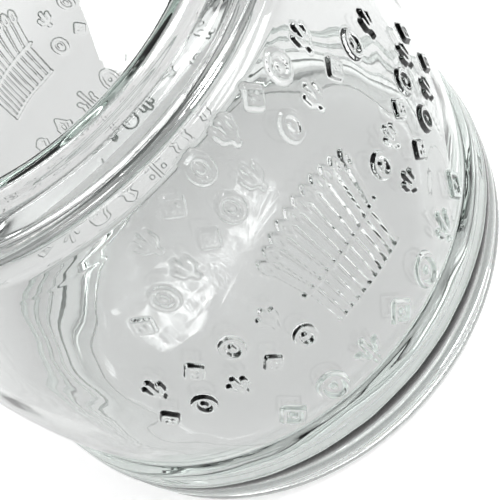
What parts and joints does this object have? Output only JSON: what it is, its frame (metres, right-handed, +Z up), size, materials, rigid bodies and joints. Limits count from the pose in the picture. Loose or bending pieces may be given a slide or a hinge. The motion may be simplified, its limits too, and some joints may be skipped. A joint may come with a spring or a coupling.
{
  "type": "glass storage jar",
  "caption": "Wide barrel-shaped clear glass storage jar with raised foot hoops, a wheat sheaf and rows of small motifs in relief, and a domed lift-off glass lid with a round knob.",
  "frame": {"origin": "on the table plane at the jar's axis, in the middle of its bearing ring", "axes": "+Z up along the jar's axis, -Y towards the front of the jar, where the wheat sheaf relief is, +X to the right of a viewer at the front"},
  "size_m": [0.1912, 0.1912, 0.1893],
  "materials": {
    "jar_glass": "clear polished pressed glass, slightly green in its thick edges",
    "lid_glass": "clear polished pressed glass, slightly green in its thick edges"
  },
  "bodies": {
    "jar": {"jar_body": "jar_glass"},
    "lid": {"lid": "lid_glass"}
  },
  "joints": [
    {"name": "lid_lift", "type": "slide", "parent": "jar", "child": "lid", "axis": [0, 0, 1], "range_m": [0, 0.12]}
  ]
}
